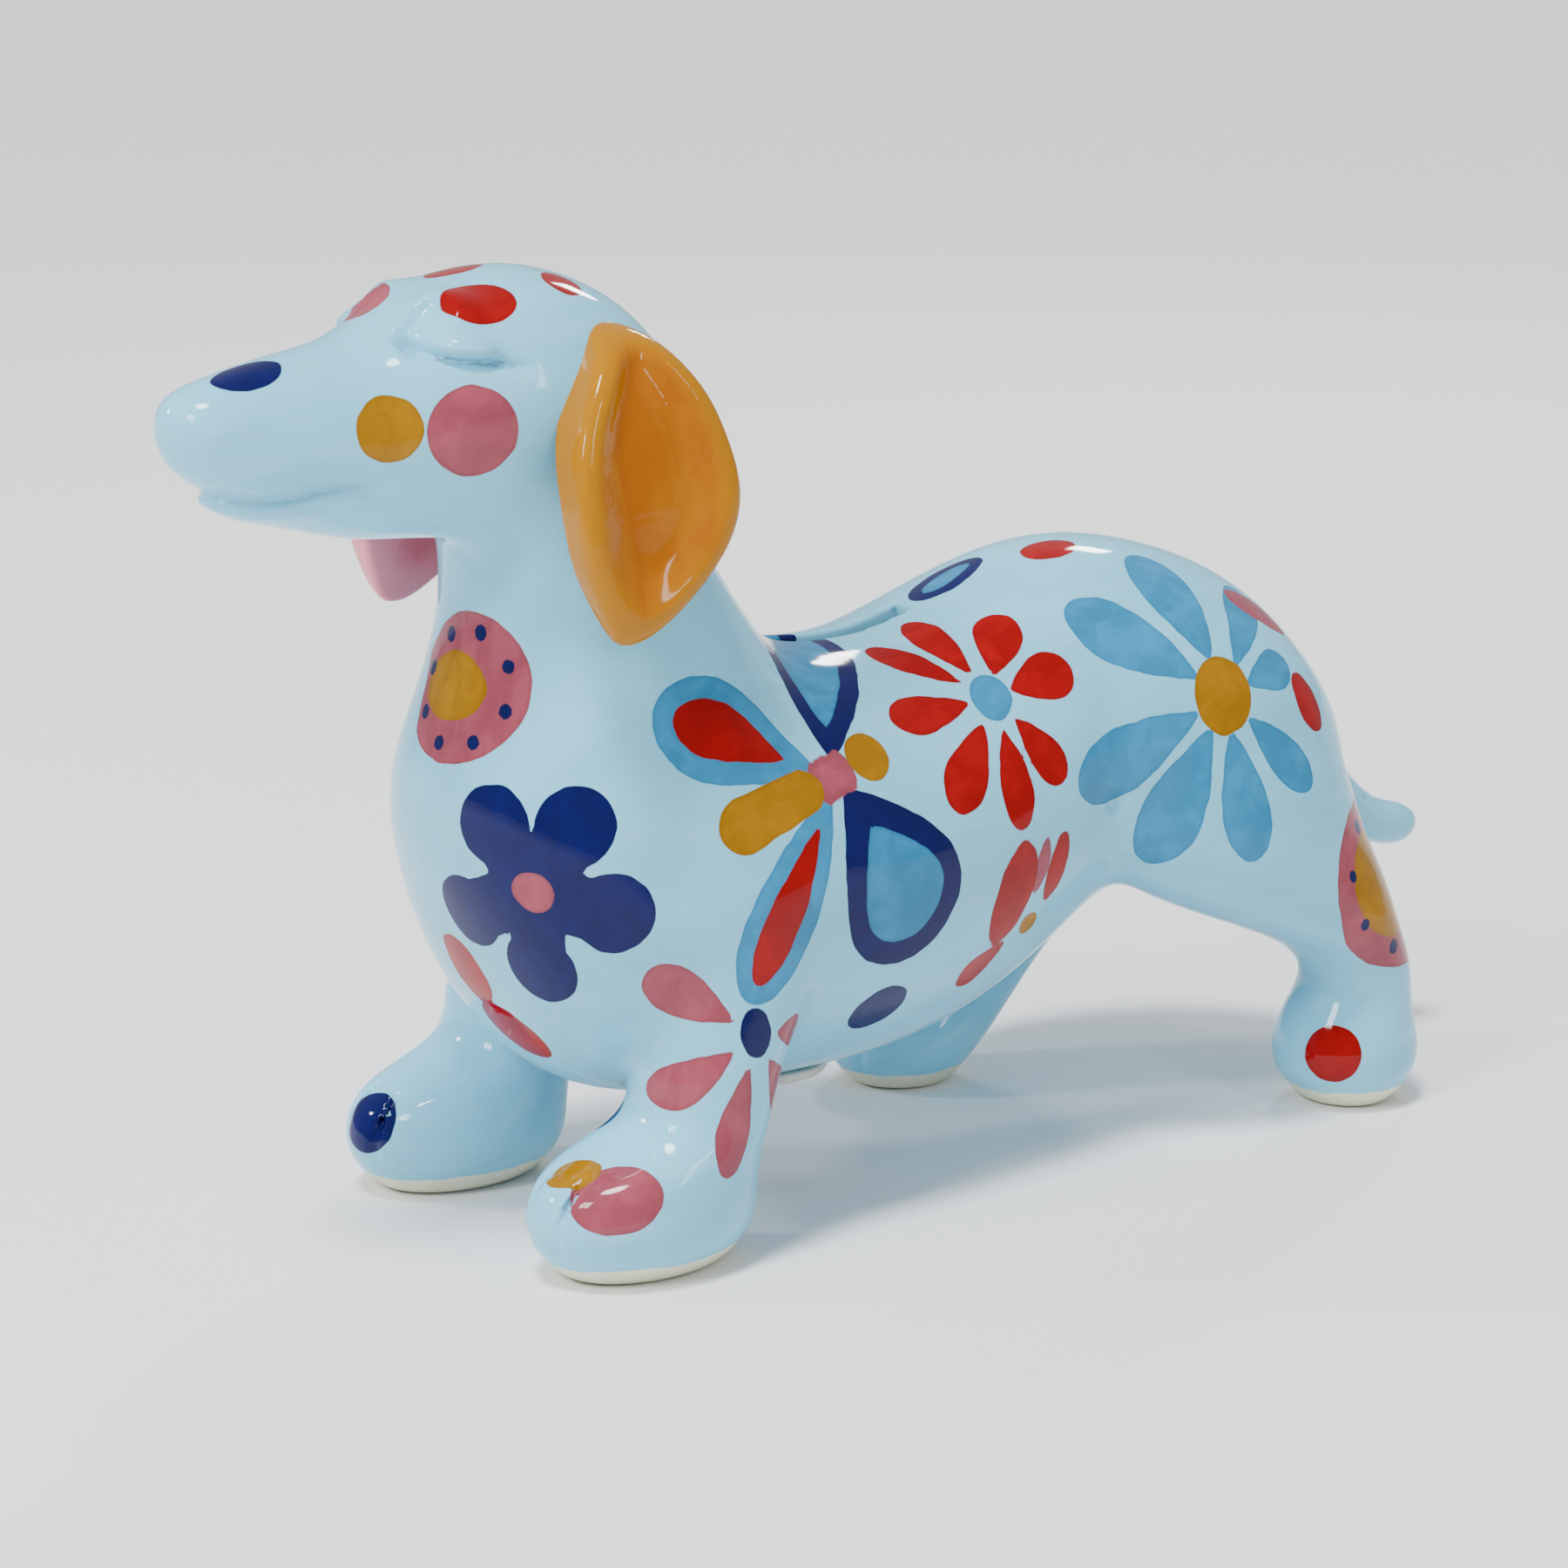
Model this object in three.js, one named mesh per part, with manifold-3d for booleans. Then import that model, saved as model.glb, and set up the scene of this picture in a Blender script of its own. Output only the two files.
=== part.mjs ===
// A hollow ceramic dachshund money bank: cast torso, head, legs, tail and ears, and a rubber stopper.
// Millimetres, +Z up. The dog faces -Y, its left is +X, and it stands on z = 0.
import * as THREE from "three";
import { mergeVertices } from "three/addons/utils/BufferGeometryUtils.js";
import Module from "manifold-3d";

const wasm = await Module();
wasm.setup();

// Driving dimensions.
const WALL = 4; // cast wall of the torso and the head
const LEG_WALL = 3.5;
const SOLE = 5; // thickness of a paw under its hollow
const GAP = 0.3; // slip joint between two castings
const PAW_X = 33; // middle of each paw from the centre plane
const NECK_CUT = { y: -60, z: 104, tilt: 0.14 }; // flat joint between the head and the torso
const SLOT = { length: 34, width: 5, y: -5.5 };
const HOLE = { radius: 12.5, y: -26, seatZ: 25, seatRadius: 16.5, bossRadius: 19, bossTop: 31 };
const STOPPER = { flangeRadius: 15.5, flange: 2.6, plugRadius: 12.1, plugLength: 8, wall: 2.5 };
const VENT_RADIUS = 4; // holes that let slip drain from the legs into the torso

const glaze = (color) => new THREE.MeshStandardMaterial({ color, roughness: 0.12, metalness: 0 });
const paleBlue = glaze(0xbfe0f0);
const yellow = glaze(0xf0a810);
const pink = glaze(0xe58fa0);
const rubber = new THREE.MeshStandardMaterial({ color: 0xe4e1da, roughness: 0.65, metalness: 0 });

// Sections. Each row is a place along the stack, the section's two edges across it (top and
// bottom along Y, front and back along Z), then its half width or its two side edges.
const TORSO = [
  [-101, 86, 86, 0],
  [-98, 98, 68, 17],
  [-91, 106, 50, 29.5],
  [-78, 112, 34, 39.5],
  [-56, 114, 25, 44.5],
  [-25, 111, 22, 45],
  [0, 110, 24, 42],
  [25, 117, 33, 39],
  [48, 122, 47, 38],
  [72, 119, 54, 39],
  [94, 108, 56, 34],
  [110, 90, 57, 24],
  [119, 72, 72, 0],
];
const NECK = [
  [56, -64, -56, 0],
  [74, -97, -30, 32],
  [90, -100, -26, 37],
  [108, -97, -27, 35],
  [124, -93, -37, 30],
  [140, -94, -46, 27],
  [156, -96, -52, 26],
  [172, -88, -58, 20],
  [180, -76, -76, 0],
];
const HEAD = [
  [-155, 163, 163, 0],
  [-151, 169.5, 152, 8.5],
  [-141, 173, 146.5, 13],
  [-128, 175.5, 142.5, 16],
  [-117, 178.5, 140, 19.5],
  [-106, 184, 139, 23.5],
  [-92, 187.5, 138, 27],
  [-76, 187, 139, 28],
  [-62, 180, 143, 24.5],
  [-51, 160, 160, 0],
];
const EAR = [
  [120, -81, -81, 38, 38],
  [125, -87, -71, 33, 42],
  [135, -91, -60, 29, 42],
  [147, -92.5, -54.5, 26, 41],
  [158, -91.5, -56, 22, 39],
  [168, -87, -60, 17, 36],
  [175, -82, -65, 12, 31],
  [180, -74, -74, 18, 18],
];
const RIGHT_EAR_SHIFT = [-2, -2.5, -4]; // set on a little lower and further forward
const BROW = { x: 10, y: -104, z: 177, size: [9.5, 8, 6.5] };
const EYELID = { x: 16.5, y: -100.5, z: 174, size: [7, 11.5, 5.5] };
const FRONT_LEG = [
  [-7, -77, -73, 0, 0],
  [0, -91, -59, -10.5, 10.5],
  [6, -97.5, -53, -15.5, 15.5],
  [16, -98, -51, -17, 17],
  [21.5, -92, -50, -16, 16],
  [26.5, -81.5, -49, -14.8, 14.8],
  [31.5, -76.5, -47.5, -14.2, 14.4],
  [38, -74, -45, -14, 14.3],
  [46, -73, -41, -15, 14.5],
  [58, -74, -35, -17, 14],
  [72, -72, -34, -20, 12],
  [84, -55, -55, 0, 0],
];
const REAR_LEG = [
  [-7, 103, 107, 0, 0],
  [0, 97, 114, -9.5, 9.5],
  [6, 91.5, 120, -14, 14],
  [14, 90.5, 121, -15, 15],
  [20, 93, 120, -13.5, 13.5],
  [28, 96, 119.5, -12, 12],
  [36, 88, 117, -13, 13],
  [45, 68, 115, -17, 14],
  [56, 46, 111.5, -22, 14],
  [70, 38, 107.5, -26, 13],
  [86, 40, 102, -28, 9],
  [100, 72, 72, -4, -4],
];
const REAR_LEG_FORWARD = [
  [-7, 35, 40, 0, 0],
  [0, 27, 48, -9.5, 9.5],
  [6, 21.5, 54, -14, 14],
  [14, 24, 62, -15, 15],
  [20, 32, 68, -14, 14],
  [28, 40, 77, -13, 13],
  [38, 43, 87, -15, 13],
  [50, 40, 94, -19, 14],
  [66, 38, 102, -25, 13],
  [84, 40, 101, -28, 10],
  [100, 72, 72, -4, -4],
];
const TAIL = [
  [98, 86, 86, 0],
  [106, 88, 68, 12.5],
  [117, 78.5, 60, 10.5],
  [129, 65.5, 51, 8],
  [141, 55, 44, 6.2],
  [150, 51.5, 42.5, 5.2],
  [155, 47, 47, 0],
];

function solid(geometry) {
  const bare = geometry.clone().deleteAttribute("normal").deleteAttribute("uv");
  const merged = mergeVertices(bare, 1e-4);
  return new wasm.Manifold(
    new wasm.Mesh({
      numProp: 3,
      vertProperties: merged.attributes.position.array,
      triVerts: new Uint32Array(merged.index.array),
    }),
  );
}

// A closed body through oval sections set along the Y or the Z axis, round at both ends.
// inset shrinks it by a wall (or grows it, when negative); side -1 mirrors it across the centre plane.
function stack(rows, { axis = "z", sides = 24, rings = 20, inset = 0, x = 0, side = 1 } = {}) {
  const full = rows.map((r) => (r.length === 4 ? [r[0], r[1], r[2], -r[3], r[3]] : r));
  const from = full[0][0];
  const length = full.at(-1)[0] - from;
  const angles = full.map((r) => Math.acos(1 - (2 * (r[0] - from)) / length));
  const edges = new THREE.CubicInterpolant(angles, full.flatMap((r) => r.slice(1)), 4);
  const ball = new THREE.SphereGeometry(1, sides, rings);
  const at = ball.attributes.position;
  const p = new THREE.Vector3();
  for (let i = 0; i < at.count; i++) {
    p.fromBufferAttribute(at, i);
    const polar = Math.acos(THREE.MathUtils.clamp(p.y, -1, 1));
    const [a0, a1, b0, b1] = edges.evaluate(polar);
    const round = Math.hypot(p.x, p.z);
    const pole = round < 1e-4;
    const reach = (edge0, edge1) => Math.max(Math.abs(edge1 - edge0) / 2 - inset, 0.4);
    const across = (a0 + a1) / 2 + (pole ? 0 : (p.x / round) * reach(a0, a1));
    const wide = (b0 + b1) / 2 + (pole ? 0 : (p.z / round) * reach(b0, b1));
    const place = from + length / 2 - p.y * (length / 2 - inset);
    if (axis === "y") at.setXYZ(i, side * (x + wide), place, across);
    else at.setXYZ(i, side * (x + wide), across, place);
  }
  if ((axis === "z") === side > 0) flip(ball);
  return solid(ball);
}

function flip(geometry) {
  const index = geometry.index.array;
  for (let i = 0; i < index.length; i += 3) [index[i], index[i + 1]] = [index[i + 1], index[i]];
}

function block(width, depth, height, x, y, z) {
  return solid(new THREE.BoxGeometry(width, depth, height).translate(x, y, z));
}

// An upright cylinder between two heights.
function post(radius, low, high, x, y, sides = 40) {
  const rod = new THREE.CylinderGeometry(radius, radius, high - low, sides).rotateX(Math.PI / 2);
  return solid(rod.translate(x, y, (low + high) / 2));
}

// Half of space above (or below) the neck joint, kept back from it by half the gap.
function neckSide(above) {
  const reach = 400;
  const slab = new THREE.BoxGeometry(reach, reach, reach);
  slab.translate(0, 0, (above ? 1 : -1) * (reach / 2 + GAP / 2));
  slab.rotateX(Math.atan(NECK_CUT.tilt)).translate(0, NECK_CUT.y, NECK_CUT.z);
  return solid(slab);
}

function bump({ x, y, z, size }, side) {
  const ball = new THREE.SphereGeometry(1, 12, 8).scale(...size);
  return solid(ball.translate(side * x, y, z));
}

function headBody(inset, detail) {
  const skull = stack(HEAD, { axis: "y", inset, ...detail });
  return skull.add(stack(NECK, { inset, ...detail }));
}

const FINE = { sides: 28, rings: 22 };
const COARSE = { sides: 16, rings: 14 };

// The torso's outside: trunk and neck base, cut back around the neck that rises from it.
function torsoBody(inset) {
  const trunk = stack(TORSO, { axis: "y", inset, ...FINE });
  const neckAbove = stack(NECK, { inset: -GAP, ...FINE }).intersect(neckSide(true));
  const neckBelow = stack(NECK, { inset, ...FINE }).intersect(neckSide(false));
  return trunk.subtract(neckAbove).add(neckBelow);
}

// Torso: one hollow casting with a flat ring for the neck, a seat and hole under the belly,
// a coin slot in the back and small vents into the legs.
const torsoGrown = torsoBody(-GAP);
const boss = post(HOLE.bossRadius, 0, HOLE.bossTop, 0, HOLE.y);
const cavity = stack(TORSO, { axis: "y", inset: WALL, ...COARSE })
  .add(stack(NECK, { inset: WALL, ...COARSE }))
  .subtract(boss);
let torso = torsoBody(0)
  .subtract(cavity)
  .subtract(block(SLOT.width, SLOT.length, 30, 0, SLOT.y, 112))
  .subtract(post(HOLE.seatRadius, 0, HOLE.seatZ, 0, HOLE.y))
  .subtract(post(HOLE.radius, 0, HOLE.bossTop + 5, 0, HOLE.y));

// Head: skull, brows, eyelids and neck in one hollow casting, open where it meets the torso.
let head = headBody(0, FINE);
const headGrown = headBody(-GAP, FINE);
for (const side of [-1, 1]) {
  head = head.add(bump(BROW, side)).add(bump(EYELID, side));
}
head = head.intersect(neckSide(true)).subtract(headBody(WALL, COARSE));

// Legs: hollow above a solid paw, flat under it, open where they meet the torso.
const below = (height) => block(400, 400, 100, 0, 0, height - 50);
function leg(rows, side, vent) {
  const hollow = stack(rows, { x: PAW_X, side, inset: LEG_WALL, sides: 12, rings: 10 }).subtract(below(SOLE));
  const made = stack(rows, { x: PAW_X, side, sides: 18, rings: 16 })
    .subtract(hollow)
    .subtract(below(0))
    .subtract(torsoGrown);
  torso = torso.subtract(post(VENT_RADIUS, vent.z - 12, vent.z + 12, side * vent.x, vent.y, 16));
  return made;
}

const group = new THREE.Group();
function add(name, made, material) {
  const m = made.getMesh();
  const shape = new THREE.BufferGeometry();
  shape.setAttribute("position", new THREE.BufferAttribute(new Float32Array(m.vertProperties), 3));
  shape.setIndex(new THREE.BufferAttribute(new Uint32Array(m.triVerts), 1));
  const mesh = new THREE.Mesh(shape, material);
  mesh.name = name;
  group.add(mesh);
}

const legs = [
  ["front_left_leg", FRONT_LEG, 1, { x: 28, y: -55, z: 42 }],
  ["front_right_leg", FRONT_LEG, -1, { x: 28, y: -55, z: 42 }],
  ["rear_left_leg", REAR_LEG, 1, { x: 24, y: 84, z: 58 }],
  ["rear_right_leg", REAR_LEG_FORWARD, -1, { x: 24, y: 72, z: 54 }],
].map(([name, rows, side, vent]) => [name, leg(rows, side, vent)]);

add("torso_shell", torso, paleBlue);
add("head_shell", head, paleBlue);
const ear = (side) => stack(EAR, { side, sides: 16, rings: 14 });
add("left_ear", ear(1).subtract(headGrown), yellow);
add("right_ear", ear(-1).translate(RIGHT_EAR_SHIFT).subtract(headGrown), pink);
for (const [name, made] of legs) add(name, made, paleBlue);
add("tail", stack(TAIL, { axis: "y", sides: 16, rings: 12 }).subtract(torsoGrown), paleBlue);

// Stopper: a soft cup-shaped plug with a flange that seats against the belly.
const flangeTop = HOLE.seatZ - GAP;
const flangeLow = flangeTop - STOPPER.flange;
const plugTop = flangeTop + STOPPER.plugLength;
const profile = [
  [0, flangeLow],
  [STOPPER.flangeRadius - 1, flangeLow],
  [STOPPER.flangeRadius, flangeLow + 1],
  [STOPPER.flangeRadius, flangeTop],
  [STOPPER.plugRadius, flangeTop],
  [STOPPER.plugRadius, plugTop - 1],
  [STOPPER.plugRadius - 1, plugTop],
  [STOPPER.plugRadius - STOPPER.wall, plugTop],
  [STOPPER.plugRadius - STOPPER.wall, flangeTop + 0.5],
  [0, flangeTop + 0.5],
].map(([r, z]) => new THREE.Vector2(r, z));
const plug = new THREE.LatheGeometry(profile, 32).rotateX(Math.PI / 2);
add("belly_stopper", solid(plug.translate(0, HOLE.y, 0)), rubber);

export default group;
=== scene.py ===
"""A glazed ceramic dachshund money bank, hand painted with flowers and a butterfly.

The skin is one smooth surface, worked out from rounded bodies that melt into each other, and cut
along the joints of the castings. Lengths in the tables are millimetres of a dog 310 mm long.
"""

import math

import bmesh
import bpy
import numpy as np
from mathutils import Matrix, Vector


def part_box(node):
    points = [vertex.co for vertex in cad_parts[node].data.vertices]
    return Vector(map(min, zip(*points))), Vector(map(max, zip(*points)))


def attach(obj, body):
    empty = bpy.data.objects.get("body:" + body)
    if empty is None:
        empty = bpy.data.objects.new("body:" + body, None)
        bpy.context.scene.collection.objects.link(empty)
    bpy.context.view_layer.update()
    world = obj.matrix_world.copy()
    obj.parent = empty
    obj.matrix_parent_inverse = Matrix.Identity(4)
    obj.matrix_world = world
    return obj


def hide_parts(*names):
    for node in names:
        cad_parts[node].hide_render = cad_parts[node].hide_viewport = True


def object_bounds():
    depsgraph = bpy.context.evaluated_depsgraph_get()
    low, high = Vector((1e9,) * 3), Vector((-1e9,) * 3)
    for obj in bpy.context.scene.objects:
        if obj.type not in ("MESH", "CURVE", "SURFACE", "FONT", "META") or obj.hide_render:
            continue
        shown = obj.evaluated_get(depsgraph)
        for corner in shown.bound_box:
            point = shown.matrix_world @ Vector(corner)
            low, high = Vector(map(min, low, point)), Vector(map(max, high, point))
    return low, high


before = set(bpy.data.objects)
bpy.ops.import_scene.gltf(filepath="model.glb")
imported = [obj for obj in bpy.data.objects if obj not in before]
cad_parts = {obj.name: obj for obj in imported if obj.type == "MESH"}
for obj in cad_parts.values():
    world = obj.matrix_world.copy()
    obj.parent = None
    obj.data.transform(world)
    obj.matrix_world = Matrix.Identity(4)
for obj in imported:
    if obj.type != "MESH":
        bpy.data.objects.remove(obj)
CAD_BOX = [list(corner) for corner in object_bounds()]

DOG_LENGTH = 310.0
MM = (CAD_BOX[1][1] - CAD_BOX[0][1]) / DOG_LENGTH  # metres in one millimetre of the tables

SKIN_STEP = 1.15  # distance between the skin's points
EAR_STEP = 0.8
LINING_STEP = 3.0
WALL = 4.0
PAW_X = 33.0

SLOT = {"y": -5.5, "length": 34.0, "width": 5.0}
NECK_CUT = {"y": -60.0, "z": 104.0, "tilt": 0.14}

# ---------------------------------------------------------------- sections of the rounded bodies
# Each row: place along the body, the section's two edges across it, its half width (or its two
# side edges). Along Y the edges are top and bottom, along Z they are front and back.
TRUNK = [
    (-100, 87, 87, 0),
    (-97, 98, 67.5, 17.8),
    (-90, 106, 48, 30.2),
    (-78, 111, 32, 39.3),
    (-56, 113, 24, 43.3),
    (-25, 110, 22.5, 44),
    (0, 109.5, 24, 41.5),
    (25, 117, 32, 38.5),
    (48, 122, 46, 38),
    (72, 119, 54, 39),
    (94, 108, 57, 33.5),
    (110, 90, 58, 23.5),
    (119, 73, 73, 0),
]
NECK = [
    (56, -64, -56, 0),
    (74, -96, -31, 31),
    (90, -99, -27, 36),
    (108, -96, -28, 34),
    (124, -92.5, -38, 29.5),
    (140, -94, -47, 26.5),
    (156, -96, -53, 25.5),
    (172, -88, -59, 20),
    (180, -76, -76, 0),
]
HEAD = [
    (-155, 164, 164, 0),
    (-151, 170, 154, 8.5),
    (-141, 173, 146.5, 13),
    (-128, 175.5, 142.5, 16),
    (-117, 178, 140, 19.5),
    (-106, 183.5, 139, 23.5),
    (-92, 187.5, 138, 27),
    (-76, 187, 139, 28),
    (-62, 180, 143, 24.5),
    (-51, 160, 160, 0),
]
EAR = [
    (120, -81, -81, 38, 38),
    (125, -87, -71, 33, 42),
    (135, -91, -60, 29, 42),
    (147, -92.5, -54.5, 26, 41),
    (158, -91.5, -56, 22, 39),
    (168, -87, -60, 17, 36),
    (175, -82, -65, 12, 31),
    (180, -74, -74, 18, 18),
]
FRONT_LEG = [
    (-7, -77, -73, 0, 0),
    (0, -91, -59, -10.5, 10.5),
    (6, -97.5, -53, -15.5, 15.5),
    (16, -98, -51, -17, 17),
    (21, -92.5, -50, -16, 16),
    (25, -83, -49, -15, 15),
    (29.5, -77, -48, -14.2, 14.4),
    (37, -75, -45.5, -14, 14.3),
    (46, -73, -41, -15, 14),
    (58, -73, -35, -17, 12.5),
    (72, -71, -35, -20, 10.5),
    (84, -55, -55, -4, -4),
]
REAR_LEG = [
    (-7, 103, 107, 0, 0),
    (0, 97, 114, -9.5, 9.5),
    (6, 91.5, 120, -14, 14),
    (14, 90.5, 121, -15, 15),
    (20, 93, 120, -13.5, 13.5),
    (28, 96, 119.5, -12, 12),
    (36, 88, 117, -13, 13),
    (45, 68, 115, -17, 13.5),
    (56, 46, 111.5, -22, 13),
    (70, 38, 107.5, -26, 11),
    (86, 41, 102, -28, 7),
    (100, 72, 72, -6, -6),
]
REAR_LEG_FORWARD = [
    (-7, 35, 40, 0, 0),
    (0, 27, 48, -9.5, 9.5),
    (6, 21.5, 54, -14, 14),
    (14, 24, 62, -15, 15),
    (20, 32, 68, -14, 14),
    (28, 40, 77, -13, 13),
    (38, 43, 87, -15, 13),
    (50, 40, 94, -19, 13),
    (66, 38, 101, -25, 11),
    (84, 41, 100, -28, 8),
    (100, 72, 72, -6, -6),
]
TAIL = [
    (98, 86, 86, 0),
    (106, 88, 68, 12.5),
    (117, 78.5, 60, 10.5),
    (129, 65.5, 51, 8),
    (141, 55, 44, 6.2),
    (150, 51.5, 42.5, 5.2),
    (155, 47, 47, 0),
]
FAR = 60.0  # the field's value well away from a body


def spline(x, y, at, flat_ends):
    """A smooth cubic through (x, y), with flat or free ends, read at other places."""
    n, gap = len(x), np.diff(x)
    m, rhs = np.zeros((n, n)), np.zeros(n)
    slope = np.diff(y) / gap
    for i in range(1, n - 1):
        m[i, i - 1 : i + 2] = gap[i - 1], 2 * (gap[i - 1] + gap[i]), gap[i]
        rhs[i] = 6 * (slope[i] - slope[i - 1])
    if flat_ends:
        m[0, :2], rhs[0] = (2 * gap[0], gap[0]), 6 * slope[0]
        m[-1, -2:], rhs[-1] = (gap[-1], 2 * gap[-1]), -6 * slope[-1]
    else:
        m[0, 0] = m[-1, -1] = 1
    bend = np.linalg.solve(m, rhs)
    i = np.clip(np.searchsorted(x, at) - 1, 0, n - 2)
    g = gap[i]
    a, b = (x[i + 1] - at) / g, (at - x[i]) / g
    return a * y[i] + b * y[i + 1] + ((a**3 - a) * bend[i] + (b**3 - b) * bend[i + 1]) * g * g / 6


class Body:
    """A rounded body through oval sections, as a field: the distance to it, negative inside."""

    SAMPLES = 900

    def __init__(self, rows, axis, x=0.0, side=1, shift=(0, 0, 0)):
        full = np.array([r if len(r) == 5 else (*r[:3], -r[3], r[3]) for r in rows], float)
        self.low, self.high = full[0, 0], full[-1, 0]
        self.length = self.high - self.low
        self.axis, self.x, self.side, self.shift = axis, x, side, np.array(shift, float)
        turn = np.arccos(np.clip(1 - 2 * (full[:, 0] - self.low) / self.length, -1, 1))
        fine = np.linspace(0, math.pi, self.SAMPLES)
        place = self.low + self.length / 2 * (1 - np.cos(fine))
        across, side_half = (full[:, 2] - full[:, 1]) / 2, (full[:, 4] - full[:, 3]) / 2
        across = np.abs(across)
        ratio = np.ones(len(full))
        ratio[1:-1] = across[1:-1] / side_half[1:-1]
        ratio[0], ratio[-1] = ratio[1], ratio[-2]
        centre_u = spline(turn, (full[:, 1] + full[:, 2]) / 2, fine, True)
        centre_v = spline(turn, (full[:, 3] + full[:, 4]) / 2, fine, True)
        shape = np.exp(spline(turn, np.log(ratio), fine, True))
        size = np.maximum(spline(turn, np.sqrt(across * side_half), fine, False), 0) ** 2
        columns = [centre_u, centre_v, shape, size]
        slopes = [np.gradient(c, place) for c in columns]
        self.table = np.stack(columns + slopes, 1)
        self.end_slopes = [
            (size[6] - size[0]) / (place[6] - place[0]),
            (size[-1] - size[-7]) / (place[-1] - place[-7]),
        ]
        u_reach = np.stack([full[:, 1], full[:, 2]])
        v_reach = np.stack([full[:, 3], full[:, 4]])
        u0, u1, v0, v1 = u_reach.min(), u_reach.max(), v_reach.min(), v_reach.max()
        margin = 16.0
        reaches = ((self.low, self.high), (u0, u1), (v0, v1))
        self.box = [(low - margin, high + margin) for low, high in reaches]

    def split(self, points):
        p = points - self.shift
        along, across = (p[:, 1], p[:, 2]) if self.axis == "y" else (p[:, 2], p[:, 1])
        return along, across, self.side * p[:, 0] - self.x

    def middle(self, points):
        """The side-to-side middle and half width of the section at each point."""
        place = np.clip(self.split(points)[0], self.low, self.high)
        turn = np.arccos(np.clip(1 - 2 * (place - self.low) / self.length, -1, 1))
        i = (turn / math.pi * (self.SAMPLES - 1)).round().astype(int)
        return self.table[i, 1], np.sqrt(np.maximum(self.table[i, 3] / self.table[i, 2], 0))

    def __call__(self, points):
        value = np.full(len(points), FAR)
        s, u, v = self.split(points)
        near = np.ones(len(points), bool)
        for coordinate, (low, high) in zip((s, u, v), self.box):
            near &= (coordinate > low) & (coordinate < high)
        if not near.any():
            return value
        s, u, v = s[near], u[near], v[near]
        inside = np.clip(s, self.low, self.high)
        turn = np.arccos(np.clip(1 - 2 * (inside - self.low) / self.length, -1, 1))
        spot = turn / math.pi * (self.SAMPLES - 1)
        i = np.minimum(spot.astype(int), self.SAMPLES - 2)
        part = (spot - i)[:, None]
        row = self.table[i] * (1 - part) + self.table[i + 1] * part
        cu, cv, shape, size, cu_s, cv_s, shape_s, size_s = row.T
        beyond = s - inside
        size = size + np.where(beyond < 0, self.end_slopes[0], self.end_slopes[1]) * beyond
        du, dv = u - cu, v - cv
        f = du * du / shape + dv * dv * shape - size
        along = (
            -size_s - 2 * du * cu_s / shape - 2 * dv * cv_s * shape
            + (dv * dv - du * du / shape**2) * shape_s
        )
        half_slope = np.sqrt(np.maximum((2 * du / shape) ** 2 + (2 * dv * shape) ** 2 + along**2, 1e-9)) / 2
        value[near] = f / (half_slope + np.sqrt(np.maximum(half_slope**2 - f, 0)) + 1e-9)
        return np.clip(value, -FAR, FAR)


# ---------------------------------------------------------------- joining, cutting, simple shapes
def melt(a, b, width):
    """Joins two fields with a soft fillet about as wide as width."""
    overlap = np.maximum(width - np.abs(a - b), 0) / width
    return np.minimum(a, b) - overlap**3 * width / 6


def overlap(a, b, width):
    """Where both fields are inside, with a rounded edge between them."""
    return -melt(-a, -b, width)


def carve(a, b, width):
    """Takes b away from a, rounding the new edge."""
    return -melt(-a, b, width)


def oval(points, centre, size, turn=0.0):
    """An egg-shaped lump; turn swings its long side from the Y axis towards +X, in degrees."""
    d = points - np.array(centre)
    c, s = math.cos(math.radians(turn)), math.sin(math.radians(turn))
    local = np.stack([c * d[:, 0] - s * d[:, 1], s * d[:, 0] + c * d[:, 1], d[:, 2]], 1)
    size = np.array(size)
    k0 = np.linalg.norm(local / size, axis=1)
    k1 = np.linalg.norm(local / size**2, axis=1)
    return k0 * (k0 - 1) / np.maximum(k1, 1e-9)


def wire(points, path, radius):
    """A thin rod along a path of points."""
    best = np.full(len(points), FAR)
    for start, end in zip(path[:-1], path[1:]):
        a, b = np.array(start, float), np.array(end, float)
        t = np.clip((points - a) @ (b - a) / ((b - a) @ (b - a)), 0, 1)
        best = np.minimum(best, np.linalg.norm(points - a - t[:, None] * (b - a), axis=1))
    return best - radius


def both_sides(points):
    """The points with those on the dog's right mirrored to its left."""
    mirrored = points.copy()
    mirrored[:, 0] = np.abs(mirrored[:, 0])
    return mirrored


# ---------------------------------------------------------------- the dog's bodies
trunk = Body(TRUNK, "y")
neck = Body(NECK, "z")
head = Body(HEAD, "y")
tail = Body(TAIL, "y")
ears = {"left_ear": Body(EAR, "z"), "right_ear": Body(EAR, "z", side=-1, shift=(-2, -2.5, -4))}
LEGS = {
    "front_left_leg": Body(FRONT_LEG, "z", x=PAW_X),
    "front_right_leg": Body(FRONT_LEG, "z", x=PAW_X, side=-1),
    "rear_left_leg": Body(REAR_LEG, "z", x=PAW_X),
    "rear_right_leg": Body(REAR_LEG_FORWARD, "z", x=PAW_X, side=-1),
}
BROW = {"centre": (9.5, -101.0, 178.2), "size": (8.0, 8.2, 6.8)}
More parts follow.
